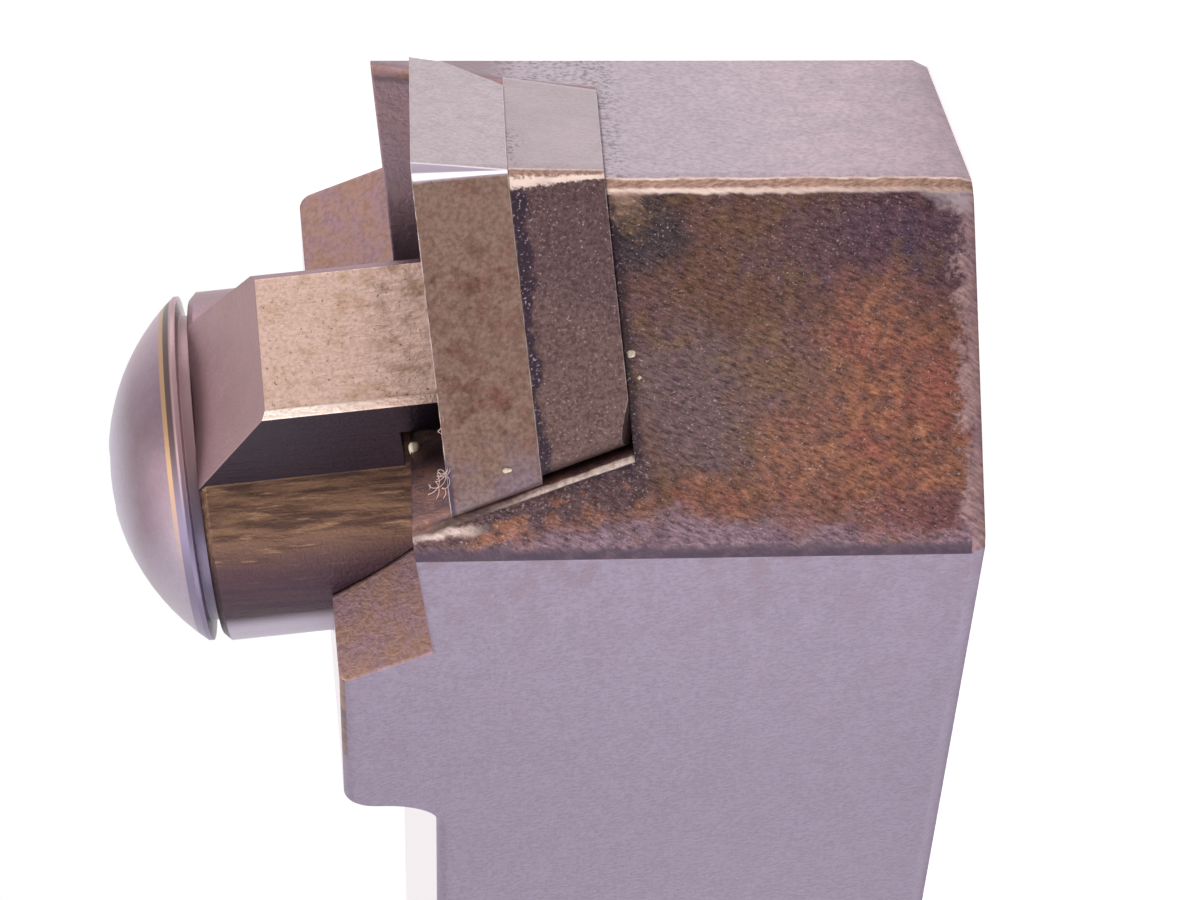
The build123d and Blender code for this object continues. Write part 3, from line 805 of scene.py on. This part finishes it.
# Two painted highlight lines run along the nose, over a tan band.
high_line = product(
    tree, between(tree, y_mm, 0.44, 0.56, 0.05), levels(tree, fine, 0.0, 1.0, 0.5, 0.2)
)
colour = mix_colour(tree, high_line, colour, BURNISHED_HIGHLIGHT)
half = levels(tree, depth, SHIM_TOP, SHIM_FOOT, 0.26, 0.10)
low_line = maths(tree, "DIVIDE", maths(tree, "ABSOLUTE", past_low), half)
low_line = maths(tree, "ADD", low_line, levels(tree, fine, 0.0, 1.0, -0.3, 0.3))
low_line = product(
    tree, smooth_step(tree, low_line, 1.15, 0.4), levels(tree, wide, 0.0, 1.0, 0.95, 0.7)
)
colour = mix_colour(tree, low_line, colour, BURNISHED_HIGHLIGHT)
# A painted highlight runs along the edges.
edge_highlight = placed(tree, rounded_edges, Radius=CARBIDE_EDGE_ROUND, Place=place)
edge_normal = placed(tree, rounded_edges, "Normal", Radius=CARBIDE_EDGE_ROUND, Place=place)
colour = mix_colour(tree, product(tree, edge_highlight, 0.6), colour, CARBIDE_EDGE_HIGHLIGHT)
finish(tree, shader, colour, edge_normal, maths(tree, "ADD", fine, grains), 0.35)
dress("shim", material)


# ---------------------------------------------------------------- clamp

# Hub and finger in one piece of hardened steel, tempered golden tan on the finger's
# front, mauve on its slope, black on its sides, painted black as shade underneath, and brown on the
# turned hub.
CLAMP_GOLD = (0.670, 0.460, 0.385, 1.0)
CLAMP_TAN = (0.480, 0.290, 0.175, 1.0)
CLAMP_MAUVE = (0.300, 0.182, 0.214, 1.0)
CLAMP_RUSSET = (0.262, 0.146, 0.152, 1.0)
CLAMP_HIGHLIGHT = (0.850, 0.700, 0.620, 1.0)
CLAMP_BLACK = (0.034, 0.022, 0.035, 1.0)
HUB_TAN = (0.180, 0.098, 0.062, 1.0)
HUB_GOLD_GLINT = (0.340, 0.200, 0.120, 1.0)
HUB_BROWN = (0.066, 0.035, 0.028, 1.0)
HUB_SHADE = (0.033, 0.017, 0.032, 1.0)
HUB_LAVENDER_REFLECTION = (0.420, 0.360, 0.450, 1.0)
CLAMP_EDGE_ROUND = 0.00012
FINGER_SPLAY = 0.087

material, tree, shader, place, normal = start_material("clamp_steel", 0.90, 0.38)
axes = node(tree, "ShaderNodeSeparateXYZ", {"Vector": place})
x_mm, y_mm, z_mm = axes.outputs[0], axes.outputs[1], axes.outputs[2]
wide = placed(tree, blotches, Place=place, Size=1.6, Low=0.40, High=0.62)
middling = placed(tree, blotches, Place=place, Size=0.6, Low=0.42, High=0.66)
fine = placed(tree, blotches, Place=place, Size=0.14, Low=0.34, High=0.68)
turned_marks = stretched(tree, place, (1.0, 1.0, 0.12))
marks = placed(tree, blotches, Place=turned_marks, Size=0.34, Low=0.36, High=0.64)
# The turning marks carry fine golden lines, painted highlights on the marks.
gold_glints = placed(tree, blotches, Place=turned_marks, Size=0.22, Low=0.56, High=0.72)
colour = mix_colour(tree, marks, HUB_TAN, HUB_BROWN)
colour = mix_colour(tree, product(tree, gold_glints, 0.6), colour, HUB_GOLD_GLINT)
# Toward the left side a dark band is painted on the hub's round as shade, and the part that faces
# left gets a lavender painted reflection.
ragged_y = maths(tree, "ADD", y_mm, levels(tree, marks, 0.0, 1.0, -0.3, 0.3))
round_shade = smooth_step(tree, ragged_y, -4.6, -5.9)
colour = mix_colour(tree, product(tree, round_shade, 0.85), colour, HUB_SHADE)
round_reflection = facing(tree, normal, (-0.25, -0.97, 0.0), 0.93, 0.985)
colour = mix_colour(tree, product(tree, round_reflection, 0.85), colour, HUB_LAVENDER_REFLECTION)
far_round = shaded(tree, CLAMP_MAUVE, 0.9)
colour = mix_colour(tree, smooth_step(tree, y_mm, 1.0, 3.0), colour, far_round)
left_side = facing(tree, normal, (FINGER_SPLAY, -1.0, 0.0), 0.990, 0.997)
right_side = facing(tree, normal, (FINGER_SPLAY, 1.0, 0.0), 0.990, 0.997)
side = maths(tree, "MAXIMUM", left_side, right_side)
finger_only = smooth_step(tree, x_mm, 36.5, 37.5)
colour = mix_colour(tree, product(tree, side, finger_only), colour, CLAMP_BLACK)
# The faces that look down are painted black as shade.
underside = facing(tree, normal, (0.07, 0.0, -1.0), 0.9, 0.97)
colour = mix_colour(tree, product(tree, underside, 0.9), colour, CLAMP_BLACK)
tip_only = smooth_step(tree, x_mm, 42.0, 43.0)
front = product(tree, facing(tree, normal, (1.0, 0.0, 0.07), 0.90, 0.97), tip_only)
gold = mix_colour(tree, product(tree, wide, middling, 0.75), CLAMP_GOLD, CLAMP_TAN)
gold = shaded(tree, gold, levels(tree, fine, 0.0, 1.0, 1.12, 0.86))
ragged_z = maths(tree, "ADD", z_mm, levels(tree, wide, 0.0, 1.0, -0.4, 0.4))
toward_insert = smooth_step(tree, ragged_z, 20.8, 19.6)
gold = mix_colour(tree, product(tree, toward_insert, middling, 0.4), gold, HUB_TAN)
dents = placed(tree, blotches, Place=place, Size=0.15, Low=0.62, High=0.68)
gold = mix_colour(tree, product(tree, dents, 0.7), gold, HUB_BROWN)
colour = mix_colour(tree, front, colour, gold)
slope = facing(tree, normal, (0.454, 0.0, 0.891), 0.96, 0.99)
mauve = mix_colour(tree, smooth_step(tree, x_mm, 38.0, 42.5), CLAMP_MAUVE, CLAMP_RUSSET)
mauve = shaded(tree, mauve, levels(tree, wide, 0.0, 1.0, 1.05, 0.96))
colour = mix_colour(tree, slope, colour, mauve)
# A painted highlight runs along the chamfer at the finger's lower front edge, pale high up and
# golden lower down.
front_edge = product(tree, facing(tree, normal, (0.7, -0.7, 0.05), 0.93, 0.97), tip_only)
edge_share = product(
    tree, levels(tree, y_mm, -2.44, -2.52, 0.0, 1.0), levels(tree, fine, 0.0, 1.0, 1.0, 0.75)
)
highlight_share = levels(tree, z_mm, 22.5, 20.0, 0.0, 0.9)
edge_highlight_colour = mix_colour(tree, highlight_share, CLAMP_HIGHLIGHT, CLAMP_GOLD)
colour = mix_colour(tree, product(tree, front_edge, edge_share), colour, edge_highlight_colour)
edge_normal = placed(tree, rounded_edges, "Normal", Radius=CLAMP_EDGE_ROUND, Place=place)
tree.links.new(levels(tree, slope, 0.0, 1.0, 0.90, 0.20), shader.inputs["Metallic"])
relief = maths(tree, "SUBTRACT", maths(tree, "ADD", fine, marks), dents)
finish(tree, shader, colour, edge_normal, relief, 0.30)
dress("clamp", material)


# ---------------------------------------------------------------- screws and spring

# The clamp screw's domed head is rubbed smooth and mauve brown, with a lavender painted
# reflection on its crown and its left side. Its rim has a brassy line, and the collar
# under it goes from a painted shade under the lip to mauve, and bluish at its left. The
# shim's screw and the spring are plain steel.
DOME_MAUVE = (0.205, 0.132, 0.176, 1.0)
DOME_BROWN = (0.172, 0.104, 0.126, 1.0)
DOME_LAVENDER_REFLECTION = (0.400, 0.350, 0.430, 1.0)
DOME_PINK = (0.395, 0.272, 0.335, 1.0)
RIM_BRASS = (0.400, 0.225, 0.110, 1.0)
GROOVE_SHADE = (0.075, 0.038, 0.038, 1.0)
GROOVE_MAUVE = (0.370, 0.222, 0.236, 1.0)
GROOVE_BLUE = (0.150, 0.115, 0.190, 1.0)
PLAIN_STEEL = (0.300, 0.270, 0.300, 1.0)
SCREW_AXIS_X = 34.4128
SCREW_SEAT_Z = 26.9501
LIP_TOP = 0.58
LIP_BOTTOM = 0.42
SCREW_EDGE_ROUND = 0.00008
PLAIN_EDGE_ROUND = 0.00005

material, tree, shader, place, normal = start_material("screw_steel", 0.45, 0.34)
y_mm = node(tree, "ShaderNodeSeparateXYZ", {"Vector": place}).outputs[1]
wide = placed(tree, blotches, Place=place, Size=3.0, Low=0.36, High=0.64)
fine = placed(tree, blotches, Place=place, Size=0.2, Low=0.34, High=0.68)
axis = (-math.sin(SEAT_RAKE), 0.0, math.cos(SEAT_RAKE))
from_seat = vector_maths(tree, "SUBTRACT", place, (SCREW_AXIS_X, 0.0, SCREW_SEAT_Z))
height = vector_maths(tree, "DOT_PRODUCT", from_seat.outputs[0], axis).outputs["Value"]
colour = mix_colour(tree, wide, DOME_MAUVE, DOME_BROWN)
# The dome's crown and left side are painted lavender as a reflection.
sideways = smooth_step(tree, y_mm, -2.8, -5.6)
colour = mix_colour(tree, product(tree, sideways, 0.5), colour, DOME_LAVENDER_REFLECTION)
colour = mix_colour(tree, smooth_step(tree, y_mm, 0.0, 5.0), colour, DOME_PINK)
colour = mix_colour(tree, smooth_step(tree, height, 1.6, 3.2), colour, DOME_LAVENDER_REFLECTION)
colour = shaded(tree, colour, levels(tree, fine, 0.0, 1.0, 1.05, 0.95))
rim_share = product(
    tree,
    smooth_step(tree, height, LIP_TOP + 0.05, LIP_TOP),
    levels(tree, y_mm, -5.5, -2.5, 0.0, 0.9),
)
colour = mix_colour(tree, rim_share, colour, RIM_BRASS)
# Just under the lip the collar is painted dark as shade.
groove = mix_colour(tree, smooth_step(tree, height, 0.17, 0.25), GROOVE_MAUVE, GROOVE_SHADE)
groove = mix_colour(tree, smooth_step(tree, y_mm, -1.5, -4.5), groove, GROOVE_BLUE)
below_lip = smooth_step(tree, height, LIP_BOTTOM + 0.03, LIP_BOTTOM)
colour = mix_colour(tree, below_lip, colour, groove)
edge_normal = placed(tree, rounded_edges, "Normal", Radius=SCREW_EDGE_ROUND, Place=place)
finish(tree, shader, colour, edge_normal, fine, 0.08)
dress("clamp_screw", material)

material, tree, shader, place, normal = start_material("plain_steel", 0.90, 0.36)
fine = placed(tree, blotches, Place=place, Size=0.2, Low=0.34, High=0.68)
colour = shaded(tree, PLAIN_STEEL, levels(tree, fine, 0.0, 1.0, 1.10, 0.90))
edge_normal = placed(tree, rounded_edges, "Normal", Radius=PLAIN_EDGE_ROUND, Place=place)
finish(tree, shader, colour, edge_normal, fine, 0.10)
dress("shim_screw", material)
dress("clamp_spring", material)


# ---------------------------------------------------------------- crumbs and lint

# Dust that has settled on the head: pale crumbs beside the finger, on the insert and by
# the shim, and a tuft of thin pinkish fibres caught on the insert's rear edge.
CRUMB_CREAM = (0.72, 0.60, 0.46, 1.0)
LINT_PINK = (0.62, 0.44, 0.40, 1.0)
CRUMBS = (
    ((42.74, -3.56, 19.28), (0.28, 0.28, 0.18)),
    ((49.54, -7.58, 16.44), (0.10, 0.10, 0.11)),
    ((51.10, -4.37, 11.98), (0.12, 0.12, 0.13)),
    ((50.48, -4.95, 11.75), (0.07, 0.07, 0.07)),
)
FIBRES = (
    ((49.95, -7.50, 18.43), (49.42, -8.22, 19.17), 0.16, 1.3),
    ((50.05, -7.40, 18.45), (49.30, -8.32, 18.90), 0.22, 0.9),
    ((49.95, -7.52, 18.45), (49.55, -8.05, 19.10), 0.24, 1.7),
    ((49.90, -7.56, 18.43), (49.24, -8.30, 18.66), 0.12, 2.3),
    ((50.04, -7.38, 18.30), (49.72, -7.80, 18.85), 0.16, 2.1),
    ((51.44, -6.01, 18.62), (50.83, -6.64, 18.58), 0.22, 0.5),
)
CRUMB_RINGS = 12
CRUMB_POLE = 0.04
CRUMB_LUMP = 0.18
FIBRE_STEPS = 40
FIBRE_SIDES = 5
FIBRE_RADIUS = 0.013


def grid_faces(rows, columns):
    """Quads between the rows of a grid of points whose columns close on themselves."""
    faces = []
    for row in range(rows - 1):
        for column in range(columns):
            after = (column + 1) % columns
            low, high = row * columns, (row + 1) * columns
            faces.append((low + column, low + after, high + after, high + column))
    return faces


def crumb(middle, reach, phases):
    """Ellipsoid middle + reach * n * (1 + lump * sum of sin(3 n + phase)), n a unit vector."""
    rings = np.linspace(CRUMB_POLE, math.pi - CRUMB_POLE, CRUMB_RINGS)
    turns = np.linspace(0.0, 2 * math.pi, 2 * CRUMB_RINGS, endpoint=False)
    ring, turn = np.meshgrid(rings, turns, indexing="ij")
    unit = np.stack((np.sin(ring) * np.cos(turn), np.sin(ring) * np.sin(turn), np.cos(ring)), -1)
    lumps = 1 + CRUMB_LUMP * np.sin(3 * unit + phases).sum(-1, keepdims=True)
    points = np.array(middle) + np.array(reach) * unit * lumps
    return points.reshape(-1, 3), grid_faces(CRUMB_RINGS, 2 * CRUMB_RINGS)


def fibre(start, end, curl, waves):
    """Tube along start + t (end - start) + curl * sin(pi t) * (a cos + b sin)(2 pi waves t)."""
    start, end = np.array(start), np.array(end)
    t = np.linspace(0.0, 1.0, FIBRE_STEPS)[:, None]
    along = (end - start) / np.linalg.norm(end - start)
    first = np.cross(along, (0.0, 0.0, 1.0))
    first /= np.linalg.norm(first)
    second = np.cross(along, first)
    swing = 2 * math.pi * waves * t
    bow = curl * np.sin(math.pi * t)
    path = start + (end - start) * t + bow * (np.cos(swing) * second + np.sin(swing) * along)
    ahead = np.gradient(path, axis=0)
    ahead /= np.linalg.norm(ahead, axis=1, keepdims=True)
    across = np.cross(ahead, first)
    across /= np.linalg.norm(across, axis=1, keepdims=True)
    other = np.cross(ahead, across)
    turns = np.linspace(0.0, 2 * math.pi, FIBRE_SIDES, endpoint=False)[None, :, None]
    ring = np.cos(turns) * across[:, None, :] + np.sin(turns) * other[:, None, :]
    points = path[:, None, :] + FIBRE_RADIUS * ring
    return points.reshape(-1, 3), grid_faces(FIBRE_STEPS, FIBRE_SIDES)


def dust_piece(name, shapes, colour, roughness):
    """One object of all the shapes, given in millimetres, with a plain matt material."""
    points, faces = [], []
    for shape_points, shape_faces in shapes:
        shift = sum(len(part) for part in points)
        points.append(shape_points)
        faces.extend(tuple(index + shift for index in face) for face in shape_faces)
    mesh = bpy.data.meshes.new(name)
    mesh.from_pydata((np.concatenate(points) / 1000).tolist(), [], faces)
    mesh.polygons.foreach_set("use_smooth", [True] * len(faces))
    piece = bpy.data.objects.new(name, mesh)
    scene.collection.objects.link(piece)
    material, tree, shader, place, normal = start_material(name, 0.0, roughness)
    mottle = placed(tree, blotches, Place=place, Size=0.08, Low=0.34, High=0.66)
    tone = shaded(tree, colour, levels(tree, mottle, 0.0, 1.0, 1.1, 0.8))
    tree.links.new(tone, shader.inputs["Base Color"])
    mesh.materials.append(material)
    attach(piece, "holder")
    return piece


rng = np.random.default_rng(7)
crumb_shapes = [crumb(middle, reach, rng.uniform(0, 6.28, 3)) for middle, reach in CRUMBS]
dust_piece("crumbs", crumb_shapes, CRUMB_CREAM, 0.8)
dust_piece("lint", [fibre(*values) for values in FIBRES], LINT_PINK, 0.7)
